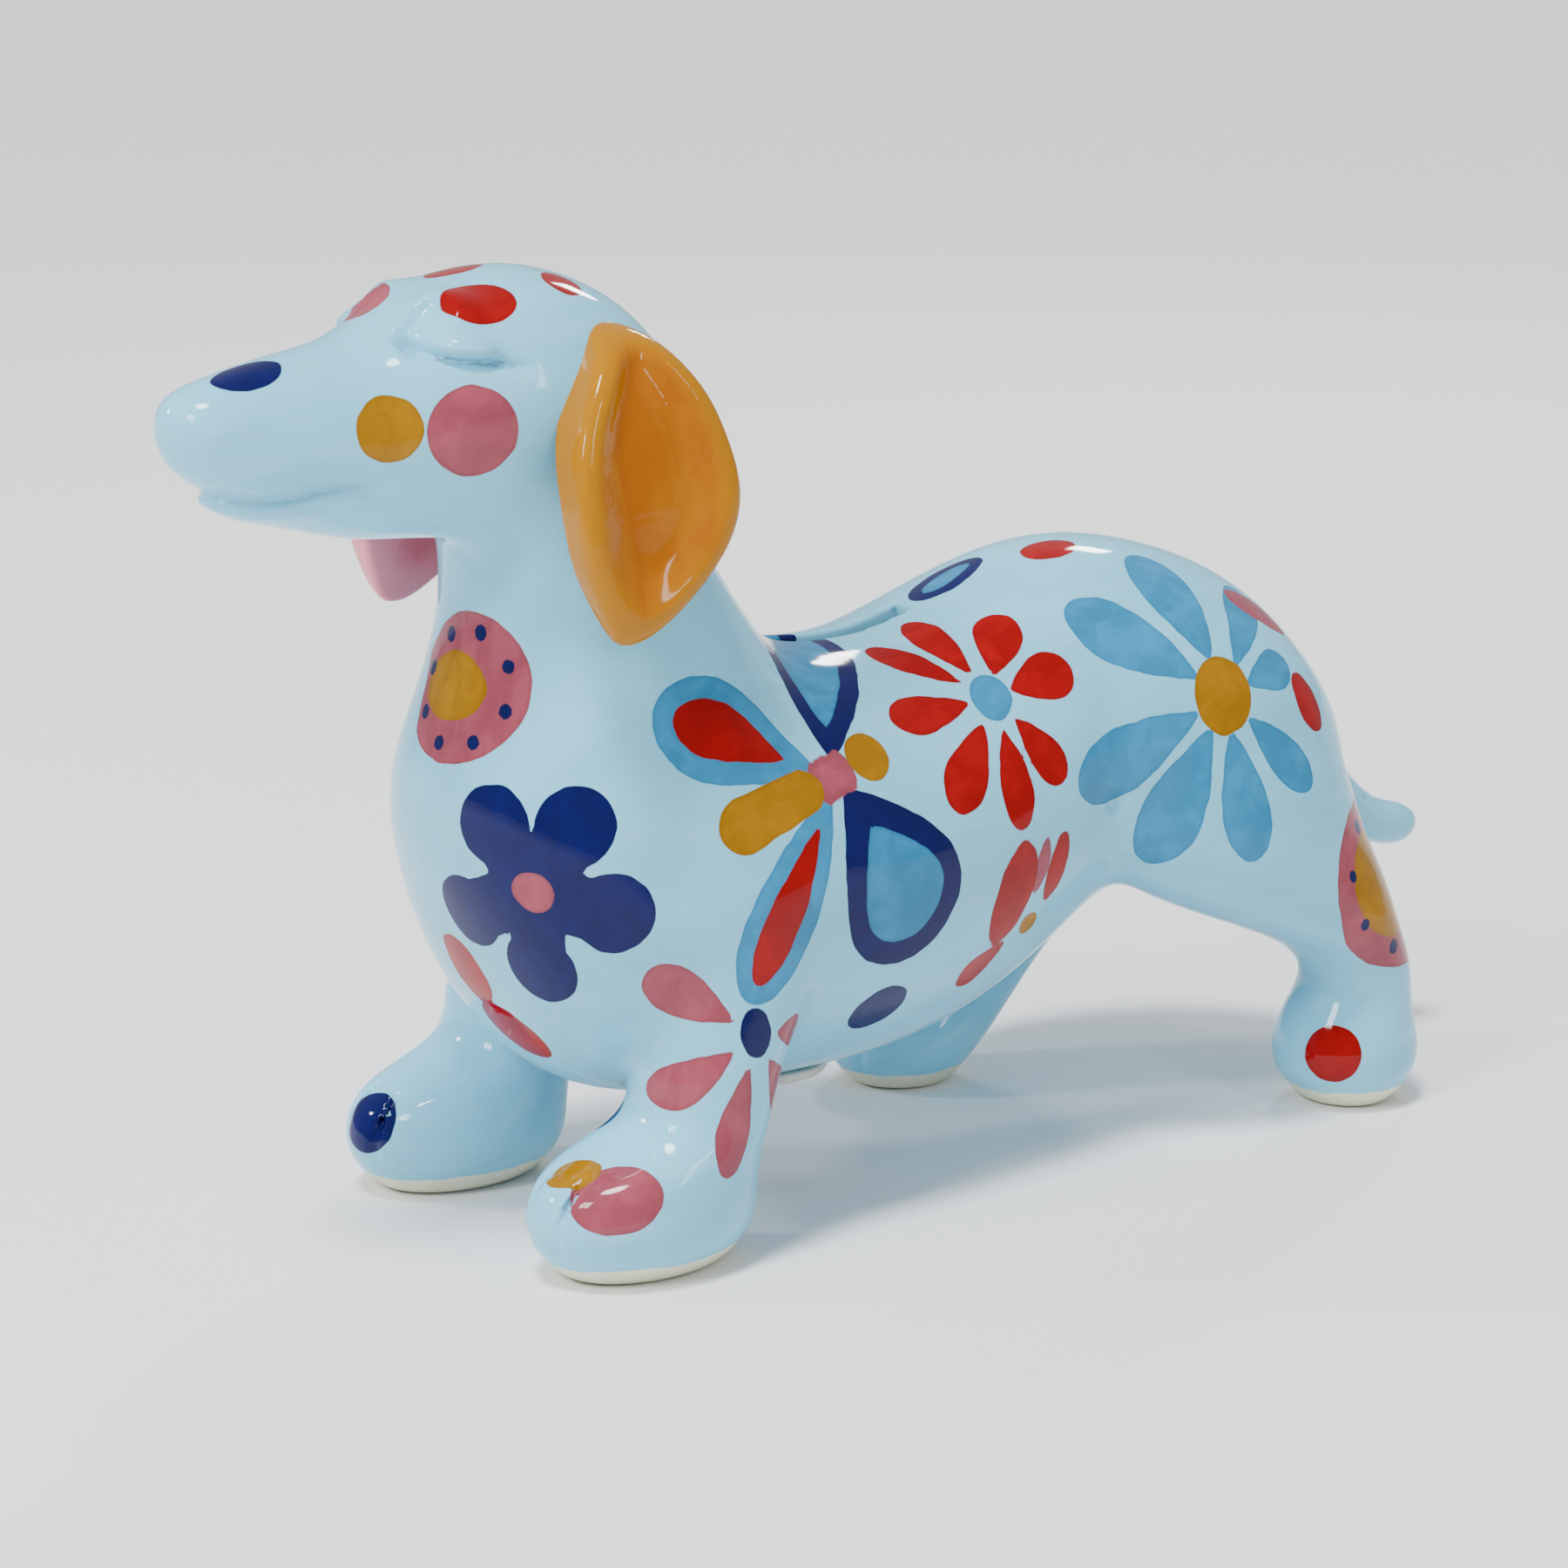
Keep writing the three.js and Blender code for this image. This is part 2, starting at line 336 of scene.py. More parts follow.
# Marks on the side of the head as seen from the side, in (y, z).
MOUTH = [
    (-154, 155), (-148, 152), (-140.6, 150.4), (-135, 150.8),
    (-130, 151.8), (-124, 152.3), (-117, 151.4),
]
LID_CREASE = [(-111.6, 178), (-110.4, 175.9), (-108, 174.5), (-104.4, 173.9), (-98.8, 173.3), (-93, 172)]
BROW_CREASE = [(-104.8, 183.4), (-107.8, 181.4), (-109.6, 179.0), (-110.4, 176.2)]
LID = {"middle": (-103.6, 176.6), "size": (5.6, 2.6), "turn": -6}
MUZZLE_HOLLOW = {"middle": (-142.5, 160.5), "size": (7.0, 4.5), "turn": 15}
# Folds in the flank, in (y, z) too.
HIP_CREASE = [(45, 108), (38, 92), (36, 76)]
DIMPLE = {"middle": (38.2, 75), "size": (2.6, 3.2), "turn": 0}
SHOULDER_CREASE = [(-70, 122), (-64, 108), (-66, 92), (-72, 78)]
EAR_ROOT = 1.5  # how far an ear is set into the head
# The stopper's place, and the seat and hole cut for it in the belly.
STOPPER_Y = (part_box("belly_stopper")[0].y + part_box("belly_stopper")[1].y) / 2 / MM
SEAT_Z = 25.0
SEAT_RADIUS = 16.5
HOLE_RADIUS = 12.5


def near_line(points, path, width):
    """1 on a line drawn on the head's side, falling smoothly to 0 about width away."""
    flat, best = points[:, 1:], np.full(len(points), FAR)
    for start, end in zip(path[:-1], path[1:]):
        a, b = np.array(start, float), np.array(end, float)
        t = np.clip((flat - a) @ (b - a) / ((b - a) @ (b - a)), 0, 1)
        best = np.minimum(best, np.linalg.norm(flat - a - t[:, None] * (b - a), axis=1))
    return np.exp(-((best / width) ** 2))


def near_spot(points, middle, size, turn):
    """1 in the middle of an oval on the head's side, falling smoothly to 0 outside it."""
    d = points[:, 1:] - np.array(middle)
    c, s = math.cos(math.radians(turn)), math.sin(math.radians(turn))
    u, v = (c * d[:, 0] + s * d[:, 1]) / size[0], (-s * d[:, 0] + c * d[:, 1]) / size[1]
    return np.exp(-((u * u + v * v) ** 1.5))


def step_up(value, low, high):
    t = np.clip((value - low) / (high - low), 0, 1)
    return t * t * (3 - 2 * t)


def skull(points):
    """Head with brows, closed eyes and mouth."""
    p = both_sides(points)
    f = melt(head(points), oval(p, BROW["centre"], BROW["size"]), 5)
    face = np.abs(f) < 12
    q = p[face]
    aside = step_up(q[:, 0], 8, 11.5)
    relief = -2.6 * near_spot(q, **LID)
    relief += 1.8 * near_line(q, LID_CREASE, 1.1) * step_up(q[:, 1], -90, -97)
    relief += 2.6 * near_line(q, BROW_CREASE, 1.7)
    relief += 0.8 * near_spot(q, **MUZZLE_HOLLOW)
    relief *= aside * step_up(q[:, 2], 166, 170) + (q[:, 2] < 168) * step_up(q[:, 0], 3, 8)
    lip = [(y, z - 3.2) for y, z in MOUTH]
    taper = step_up(q[:, 1], -114, -126)
    relief += (1.5 * near_line(q, MOUTH, 1.5) - 0.7 * near_line(q, lip, 2.2)) * taper
    f[face] += relief
    return f


def toes(points, name, f):
    """Presses two grooves into the front of a paw."""
    low, high = (np.array(c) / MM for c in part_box(name))
    middle, front = PAW_X * (1 if "left" in name else -1), low[1]
    for offset in (-5.2, 5.2):
        groove = [
            (middle + offset * 1.15, front + 0.5, 5),
            (middle + offset, front + 1.0, 13),
            (middle + offset * 0.8, front + 8.5, 22.5),
        ]
        f = carve(f, wire(points, groove, 0.5), 2.6)
    return f


def trunk_and_neck(points):
    """The trunk and neck, with soft folds before the haunches and behind the shoulders."""
    f = melt(trunk(points), neck(points), 12)
    near = (np.abs(f) < 12) & (np.abs(points[:, 0]) > 14)
    q = points[near]
    aside = step_up(np.abs(q[:, 0]), 18, 28)
    relief = 1.3 * near_line(q, HIP_CREASE, 8) + 1.2 * near_spot(q, **DIMPLE)
    relief += 1.0 * near_line(q, SHOULDER_CREASE, 7)
    f[near] += relief * aside
    return f


def slot_cut(points):
    """The coin slot: a slim upright box."""
    d = np.abs(points - np.array([0, SLOT["y"], 110])) - np.array([SLOT["width"], SLOT["length"], 24]) / 2
    return np.linalg.norm(np.maximum(d, 0), axis=1) + np.minimum(d.max(1), 0)


def belly_cuts(points, f):
    """The stopper's flat seat and its hole."""
    out = np.hypot(points[:, 0], points[:, 1] - STOPPER_Y)
    seat = np.maximum(out - SEAT_RADIUS, points[:, 2] - SEAT_Z)
    hole = np.maximum(out - HOLE_RADIUS, points[:, 2] - SEAT_Z - 12)
    return carve(carve(f, seat, 1.2), hole, 1.2)


def whole(points):
    """The outside of the whole casting, with its cuts and flat paw bases."""
    f = melt(trunk_and_neck(points), skull(points), 9)
    f = melt(f, tail(points), 6)
    for name, leg in LEGS.items():
        f = melt(f, toes(points, name, leg(points)), 7)
    f = belly_cuts(points, f)
    f = carve(f, slot_cut(points), 1.6)
    return carve(f, points[:, 2], 2.0)


def hollow(points):
    """The inside of the wall."""
    return melt(trunk_and_neck(points), head(points), 9) + WALL


def ear_rim(name, points):
    """How far each point of an ear is from its outline, inwards."""
    leaf = ears[name]
    flat = points.copy()
    flat[:, 0] -= leaf.side * (leaf.split(points)[2] - leaf.middle(points)[0])
    return -leaf(flat) - 1.2


def ear_shape(name):
    """A thick leaf with a rounded rim and a dished outer face, laid against the finished head."""
    leaf = ears[name]

    def field(points):
        middle, half = leaf.middle(points)
        out = leaf.split(points)[2] - middle
        flat = points.copy()
        flat[:, 0] -= leaf.side * out
        rim = leaf(flat) + 1.2
        dish = 2.6 * step_up(-rim, 2.5, 8.0)
        f = overlap(overlap(rim, out - half + 1.0 + dish, 4.0), -out - half * 0.3, 2.0)
        return overlap(f, -EAR_ROOT - melt(trunk_and_neck(points), skull(points), 9), 0.6)

    return field


# ---------------------------------------------------------------- from a field to a mesh
def slope(field, points, step=0.2):
    """The field's gradient."""
    corners = np.array([(1, 1, 1), (1, -1, -1), (-1, 1, -1), (-1, -1, 1)], float)
    return sum(c * field(points + c * step)[:, None] for c in corners) / (4 * step)


def grid_values(field, low, high, step):
    """The field on a grid, worked out in full only near its surface."""
    block = 4
    count = (np.ceil((high - low) / step / block).astype(int) + 1) * block
    coarse_step = step * block
    axes = [low[k] + (np.arange(count[k] // block) + 0.5) * coarse_step for k in range(3)]
    middles = np.stack(np.meshgrid(*axes, indexing="ij"), -1).reshape(-1, 3)
    coarse = field(middles).reshape([c // block for c in count])
    near = np.abs(coarse) < coarse_step * 0.87 * 1.6 + 1.5
    values = coarse.repeat(block, 0).repeat(block, 1).repeat(block, 2).astype(np.float32)
    where = np.argwhere(near.repeat(block, 0).repeat(block, 1).repeat(block, 2))
    for part in np.array_split(where, max(1, len(where) // 200000)):
        values[tuple(part.T)] = field(low + (part + 0.5) * step)
    return values


def surface(field, low, high, step):
    """A mesh of four-sided faces over the field's zero surface: its points and its faces."""
    low, high = np.array(low, float), np.array(high, float)
    values = grid_values(field, low, high, step)
    inside = values < 0
    cells = np.zeros([n - 1 for n in values.shape], np.int8)
    for i in (0, 1):
        for j in (0, 1):
            for k in (0, 1):
                cells += inside[i : i + cells.shape[0], j : j + cells.shape[1], k : k + cells.shape[2]]
    active = np.argwhere((cells > 0) & (cells < 8))
    number = np.full(cells.shape, -1, np.int64)
    number[tuple(active.T)] = np.arange(len(active))
    corner = np.array([(i, j, k) for i in (0, 1) for j in (0, 1) for k in (0, 1)])
    value = np.stack([values[tuple((active + c).T)] for c in corner], 1).astype(float)
    total, hits = np.zeros((len(active), 3)), np.zeros(len(active))
    for a in range(8):
        for b in range(a + 1, 8):
            if np.abs(corner[a] - corner[b]).sum() != 1:
                continue
            crossed = (value[:, a] < 0) != (value[:, b] < 0)
            t = value[crossed, a] / (value[crossed, a] - value[crossed, b])
            total[crossed] += corner[a] + t[:, None] * (corner[b] - corner[a])
            hits[crossed] += 1
    points = low + (active + total / hits[:, None] + 0.5) * step
    faces = []
    for axis in range(3):
        u, v = (axis + 1) % 3, (axis + 2) % 3
        first = [slice(1, n - 1) for n in values.shape]
        second = list(first)
        first[axis], second[axis] = slice(0, -1), slice(1, None)
        a, b = inside[tuple(first)], inside[tuple(second)]
        edge = np.argwhere(a != b)
        outward = a[tuple(edge.T)]
        base = edge + np.array([0 if k == axis else 1 for k in range(3)])
        ring = []
        for du, dv in ((0, 0), (-1, 0), (-1, -1), (0, -1)):
            cell = base.copy()
            cell[:, u] += du
            cell[:, v] += dv
            ring.append(number[tuple(cell.T)])
        ring = np.stack(ring, 1)
        ring[~outward] = ring[~outward][:, ::-1]
        faces.append(ring)
    return points, np.concatenate(faces)


def settle(field, points, faces, step, rounds=3):
    """Evens out the points and lays them exactly on the surface."""
    edges = np.concatenate([faces[:, [i, (i + 1) % 4]] for i in range(4)])
    count = np.bincount(edges[:, 0], minlength=len(points))
    for turn in range(rounds + 1):
        if turn:
            sums = [np.bincount(edges[:, 0], points[edges[:, 1], k], len(points)) for k in range(3)]
            mean = np.stack(sums, 1)
            mean /= np.maximum(count, 1)[:, None]
            points = np.where(count[:, None] > 2, points * 0.4 + mean * 0.6, points)
        g = slope(field, points)
        move = -field(points)[:, None] * g / np.maximum((g * g).sum(1), 1e-6)[:, None]
        far = np.linalg.norm(move, axis=1, keepdims=True)
        points = points + move * np.minimum(1, step * 0.6 / np.maximum(far, 1e-9))
    g = slope(field, points)
    return points, g / np.maximum(np.linalg.norm(g, axis=1, keepdims=True), 1e-9)


class Mesh:
    """Points in millimetres, four-sided faces, normals and named values on the points."""

    def __init__(self, points, faces, normals):
        self.points, self.faces, self.normals, self.values = points, faces, normals, {}

    def part(self, chosen):
        """The mesh of some of the faces."""
        faces = self.faces[chosen]
        used, inverse = np.unique(faces, return_inverse=True)
        piece = Mesh(self.points[used], inverse.reshape(faces.shape), self.normals[used])
        piece.values = {name: value[used] for name, value in self.values.items()}
        return piece

    def to_object(self, name, material):
        mesh = bpy.data.meshes.new(name)
        mesh.vertices.add(len(self.points))
        mesh.vertices.foreach_set("co", (self.points * MM).astype(np.float32).ravel())
        mesh.loops.add(self.faces.size)
        mesh.loops.foreach_set("vertex_index", self.faces.astype(np.int32).ravel())
        mesh.polygons.add(len(self.faces))
        mesh.polygons.foreach_set("loop_start", np.arange(0, self.faces.size, 4, dtype=np.int32))
        mesh.update(calc_edges=True)
        mesh.shade_smooth()
        for key, value in self.values.items():
            mesh.attributes.new(key, "FLOAT", "POINT").data.foreach_set("value", value.astype(np.float32))
        mesh.normals_split_custom_set_from_vertices(self.normals.tolist())
        mesh.materials.append(material)
        piece = bpy.data.objects.new(name, mesh)
        bpy.context.scene.collection.objects.link(piece)
        return piece


# ---------------------------------------------------------------- painted motifs
PAINTS = ("sky", "navy", "pale", "pink", "red", "yellow", "ink")


class Painter:
    """Keeps, for every paint, the distance from each skin point to the nearest painted edge."""

    BARE = 9.0

    def __init__(self, mesh):
        self.mesh = mesh
        for paint in PAINTS:
            mesh.values[paint] = np.full(len(mesh.points), self.BARE)

    def add(self, paint, which, distance):
        layer = self.mesh.values[paint]
        layer[which] = np.minimum(layer[which], distance)

    def at(self, place, reach=62.0):
        return Motif(self, place, reach)


class Motif:
    """A flat drawing wrapped round the skin about one point.

    On it, u runs to the right and v up as seen from outside, in millimetres along the skin, and
    angles are in degrees from u towards v. On the back, up is towards the head.
    """

    def __init__(self, painter, place, reach):
        self.painter = painter
        points, normals = painter.mesh.points, painter.mesh.normals
        centre = np.argmin(((points - np.array(place)) ** 2).sum(1))
        away = points - points[centre]
        near = (away**2).sum(1) < reach**2
        n = normals[(away**2).sum(1) < 16.0].mean(0)
        n /= np.linalg.norm(n)
        near &= normals @ n > -0.35
        up = np.array([0, 0, 1.0]) if abs(n[2]) < 0.9 else np.array([0, -1.0, 0])
        right = np.cross(up, n)
        right /= np.linalg.norm(right)
        self.which = np.where(near)[0]
        d = away[near]
        rise = d @ n
        flat = d - rise[:, None] * n
        run = np.linalg.norm(flat, axis=1)
        half = np.arctan2(np.abs(rise), run)
        arc = np.linalg.norm(d, axis=1) * np.where(half > 1e-4, half / np.maximum(np.sin(half), 1e-9), 1)
        scale = arc / np.maximum(run, 1e-9)
        self.u, self.v = flat @ right * scale, flat @ np.cross(n, right) * scale

    def turned(self, angle, u=0.0, v=0.0):
        c, s = math.cos(math.radians(angle)), math.sin(math.radians(angle))
        du, dv = self.u - u, self.v - v
        return c * du + s * dv, -s * du + c * dv

    def disc(self, paint, radius, u=0.0, v=0.0, narrow=1.0, angle=0.0, flat_side=None):
        """A disc, or an oval of that long radius; flat_side cuts it straight at that distance."""
        x, y = self.turned(angle, u, v)
        out = np.sqrt(x * x + (y / narrow) ** 2)
        distance = (out - radius) * (narrow if narrow < 1 else 1)
        if flat_side is not None:
            distance = np.maximum(distance, flat_side - x)
        self.painter.add(paint, self.which, distance)
        return self

    def bar(self, paint, angle, start, end, first, last):
        """A round-ended brush mark along an angle, with those half widths at its two ends."""
        x, y = self.turned(angle)
        x, y = x - start - first, np.abs(y)
        length = max(end - start - first - last, 0.1)
        b = min(max((first - last) / length, -0.98), 0.98)
        a = math.sqrt(1 - b * b)
        along = a * x - b * y
        distance = a * y + b * x - first
        distance = np.where(along < 0, np.hypot(x, y) - first, distance)
        distance = np.where(along > a * length, np.hypot(x - length, y) - last, distance)
        self.painter.add(paint, self.which, distance)
        return self

    def drop(self, paint, angle, start, end, wide, u=0.0, v=0.0, fullest=0.66):
        """A petal: a point at start, a round far end, and that half width at its fullest."""
        x, y = self.turned(angle, u, v)
        length, power = end - start, math.log(0.5) / math.log(fullest)
        t = (x - start) / length
        rise = np.maximum(t, 1e-4) ** power * math.pi
        width2 = wide**2 * np.where(t > 0, np.sin(np.minimum(rise, 1.5 * math.pi)), t)
        slope_x = wide**2 / length * np.where(t > 0, power * rise / np.maximum(t, 1e-4) * np.cos(rise), 1)
        f = y * y - width2
        g = np.sqrt(slope_x**2 + 4 * y * y) / 2 + 1e-6
        distance = f / (g + np.sqrt(np.maximum(g * g - f, 0)))
        distance = np.where(t > 1, np.maximum(distance, x - end), distance)
        self.painter.add(paint, self.which, distance)
        return self

    def petals(self, paint, petals, u=0.0, v=0.0):
        """Several drops: (angle, start, end, half width)."""
        for angle, start, end, wide in petals:
            self.drop(paint, angle, start, end, wide, u, v)
        return self


def wing(motif, angle, start, end, wide, outline, inner, rim):
    """A butterfly wing: an outlined petal with another paint inside it."""
    motif.drop(outline, angle, start, end, wide)
    motif.drop(inner, angle, start + rim * 1.9, end - rim, wide - rim)


def butterfly(painter, place, flip=1):
    m = painter.at(place, 75)

    def side(angle):
        return angle if flip > 0 else 180 - angle

    wing(m, side(154), 3.0, 42, 9.7, "sky", "red", 4.3)
    wing(m, side(69), 3.0, 56, 14.0, "navy", "pale", 4.0)
    wing(m, side(-126), 3.0, 48, 8.0, "sky", "red", 3.8)
    wing(m, side(-63), 3.0, 42, 15.0, "navy", "pale", 4.8)
    m.bar("yellow", side(-166), 3.5, 29.5, 4.4, 5.4)
    m.disc("yellow", 5.2, u=flip * 10.0, v=2.6)
    turn = math.radians(side(14))
    for step in (-3.6, -1.8, 0.0, 1.8, 3.6):
        u, v = step * math.cos(turn), step * math.sin(turn)
        m.disc("pink", 4.7, u=u, v=v, narrow=0.42, angle=side(104))


def daisy(painter, place, paint, petals, centre, radius, narrow=1.0, reach=62.0):
    m = painter.at(place, reach).petals(paint, petals)
    m.disc(centre, radius, narrow=narrow, angle=90)
    return m


def slice_of_fruit(painter, place, angle, radius=16.5, cut=0.85, flatten=0.95):
    """A pink round with one side cut straight, a yellow middle and navy seeds."""
    m = painter.at(place, 45)
    m.disc("pink", radius, narrow=0.88, angle=angle, flat_side=-radius * cut)
    m.disc("yellow", radius * 0.57, u=-radius * 0.16, narrow=flatten)
    for k in range(8):
        turn = math.radians(angle + 22.5 + 45 * k)
        m.disc("ink", 1.5, u=radius * 0.74 * math.cos(turn), v=radius * 0.68 * math.sin(turn))


def five_petals(painter, place, size=1.0):
    m = painter.at(place, 40)
    for angle, out in ((124, 14.4), (57, 15.6), (-14, 15.8), (-93, 16.2), (-156, 18.6)):
        turn = math.radians(angle)
        m.disc("navy", 7.9 * size, u=out * size * math.cos(turn), v=out * size * math.sin(turn))
        m.bar("navy", angle, -6 * size, (out + 6) * size, 6.2 * size, 6.2 * size)
    m.disc("pink", 4.4 * size, narrow=0.92)


def paint_dog(painter):
    # Left side, from the chest to the hind leg.
    butterfly(painter, (38, -33.5, 91))
    daisy(painter, (30, 11, 99), "red", [
        (142, 6.0, 27, 3.4), (111, 6.0, 26, 4.0), (64, 5.0, 21.5, 5.0), (13, 4.5, 20, 5.2),
        (-53, 6.0, 23, 4.2), (-86, 6.5, 27.5, 4.2), (-123, 6.5, 27.5, 4.9), (-171, 5.0, 25, 4.6),
    ], "sky", 5.2, 0.86)
    daisy(painter, (38, 64, 94), "sky", [
        (143, 6.5, 38, 7.0), (101, 7.0, 37, 7.0), (52, 7.0, 33, 5.0), (14, 6.5, 22, 4.6),
        (-44, 7.0, 31, 4.8), (-83, 7.0, 35, 6.0), (-122, 7.0, 38, 7.0), (-158, 7.0, 40, 6.8),
    ], "yellow", 8.2, 0.85, 70)
    m = painter.at((38.5, 14, 57), 40)
    m.disc("red", 11.0, u=-5.0, v=3.5, narrow=0.5, angle=74)
    m.disc("red", 7.5, u=7.0, v=7.0, narrow=0.36, angle=78)
    m.disc("pink", 6.0, u=2.4, v=8.0, narrow=0.33, angle=78)
    m.disc("yellow", 2.6, u=2.0, v=-4.4)
    m.petals("red", [(217, 1.0, 15.0, 3.6)], u=-3.0, v=-6.5)
    painter.at((38, -22, 41.5)).disc("ink", 6.8, narrow=0.8, angle=25)
    five_petals(painter, (24.3, -92.6, 74.5))
    painter.at((-1, -91, 54), 30).disc("red", 8.0, narrow=0.72, angle=-62)
    painter.at((6, -86, 41.5), 30).disc("red", 8.6, narrow=0.66, angle=-35)
    slice_of_fruit(painter, (4, -96, 110), 10, flatten=0.7)

    # Rump, tail and hind leg.
    painter.at((6, 45, 121), 20).disc("red", 6.4, narrow=0.7, angle=90)
    m = painter.at((-1, 23, 116), 24)
    m.disc("navy", 10.5, narrow=0.5, angle=100).disc("pale", 7.0, narrow=0.36, angle=100)
    painter.at((24, 84, 106), 24).disc("pink", 9.5, narrow=0.45, angle=-50)
    painter.at((36.5, 89, 89), 20).disc("red", 7.0, narrow=0.6, angle=-70)
    painter.at((5, 112, 82), 24).disc("yellow", 9.0, narrow=0.5, angle=-75)
    slice_of_fruit(painter, (39.5, 110.5, 48.5), 180, 21.5)

    # Right side: the same flowers in another order.
    daisy(painter, (-38, -38, 92), "sky", [
        (38, 6.5, 34, 6.4), (80, 7.0, 33, 6.4), (126, 7.0, 30, 5.8), (168, 6.5, 26, 4.8),
        (-152, 6.5, 29, 5.4), (-112, 7.0, 33, 6.0), (-72, 7.0, 34, 6.2), (-32, 7.0, 34, 6.4),
    ], "yellow", 7.6, 0.86, 70)
    daisy(painter, (-37, 12, 93), "red", [
        (20, 5.5, 23, 5.0), (66, 6.0, 20, 5.2), (108, 6.0, 20, 4.6), (150, 5.5, 17, 3.9),
        (-165, 5.5, 17, 3.9), (-120, 6.5, 27, 4.6), (-78, 6.5, 27, 4.4), (-30, 6.0, 25, 4.6),
    ], "sky", 5.4, 0.9)
    butterfly(painter, (-37, 66, 92), -1)
    painter.at((-40, -8, 52)).petals("red", [(70, 2, 16, 4.6), (140, 2, 14, 3.8), (5, 2, 14, 3.8)])
    painter.at((-37, 26, 60), 20).disc("ink", 6.0, narrow=0.75, angle=-30)
    painter.at((-27, -90, 79), 24).disc("yellow", 8.0, narrow=0.8, angle=60)
    slice_of_fruit(painter, (-31, -66, 126), 30, 12)
    painter.at((-10, 92, 107), 24).disc("pink", 7.5, narrow=0.6, angle=-120)
    painter.at((-38, 96, 84), 20).disc("red", 6.0, narrow=0.65, angle=-60)

    # Head.
    for side in (1, -1):
        painter.at((side * 18.4, -119, 162.7), 20).disc("yellow", 6.2)
        painter.at((side * 23.8, -104.5, 161.5), 22).disc("pink", 8.5)
    painter.at((14, -96.5, 183), 20).disc("red", 7.5, narrow=0.78)
    painter.at((11.5, -77, 185), 16).disc("red", 4.8, narrow=0.8)
    painter.at((3.5, -139, 172.5), 16).disc("navy", 6.8, narrow=0.72, angle=90)
    painter.at((-8, -108, 182), 20).disc("pink", 7.0, narrow=0.8)
    painter.at((-2, -92, 187.5), 20).disc("red", 6.0, narrow=0.7, angle=90)
    painter.at((-16, -76, 183), 20).disc("yellow", 5.5, narrow=0.8)
    painter.at((-5, -62, 178), 24).bar("navy", 100, -9, 9, 1.5, 2.2)
    five_petals(painter, (0, -38, 138), 0.75)

    # Legs.
    daisy(painter, (47.5, -58.4, 46), "pink", [
        (146, 5, 25, 4.8), (-149, 5.5, 25, 4.3), (-107, 6, 28, 3.7), (-8, 5, 14, 3.4), (-60, 6, 22, 3.8),
    ], "ink", 4.8, 0.72, 40)
    daisy(painter, (-47.5, -58, 46), "pink", [
        (34, 5, 16, 4.0), (-48, 5.5, 20, 4.4), (-78, 6, 25, 4.4), (-120, 6, 22, 4.2), (150, 5, 16, 3.6),
    ], "ink", 4.8, 0.72, 40)
    slice_of_fruit(painter, (-47, 68, 52), 90, 13)
    painter.at((-47, 40, 15), 14).disc("red", 5.6)
    painter.at((-33, 23, 15), 14).disc("yellow", 5.0, narrow=0.8)
    painter.at((33.6, -91.5, 22), 16).disc("yellow", 6.0, narrow=0.7, angle=20)
    painter.at((43.8, -89, 19.2), 20).disc("pink", 9.2, narrow=0.8)
    painter.at((-30.8, -97, 16), 16).disc("navy", 6.7)
    painter.at((23.5, -72, 25), 9).disc("navy", 6.0, narrow=0.9)
    painter.at((41.6, 94.2, 13.7), 14).disc("red", 6.2)


# ---------------------------------------------------------------- materials
# Linear colours.
COLOURS = {
    "base": (0.205, 0.57, 0.76, 1),
    "sky": (0.024, 0.22, 0.42, 1),
    "navy": (0.003, 0.005, 0.075, 1),
    "pale": (0.020, 0.195, 0.38, 1),
    "pink": (0.30, 0.060, 0.085, 1),
    "red": (0.29, 0.001, 0.002, 1),
    "yellow": (0.31, 0.138, 0.0005, 1),
    "ink": (0.004, 0.007, 0.075, 1),
    "clay": (0.80, 0.79, 0.60, 1),
}


# For each ear: the leaf, its deeper middle and its rim.
EAR_COLOURS = {
    "left_ear": ((0.40, 0.130, 0.0005, 1), (0.34, 0.090, 0.0005, 1), (0.40, 0.160, 0.0005, 1)),
    # The right ear's pinks are set lighter than its glaze: painted light, brightening the ear where it sits
    # in shade behind the head.
    "right_ear": ((0.64, 0.17, 0.22, 1), (0.54, 0.12, 0.16, 1), (0.74, 0.23, 0.28, 1)),
}


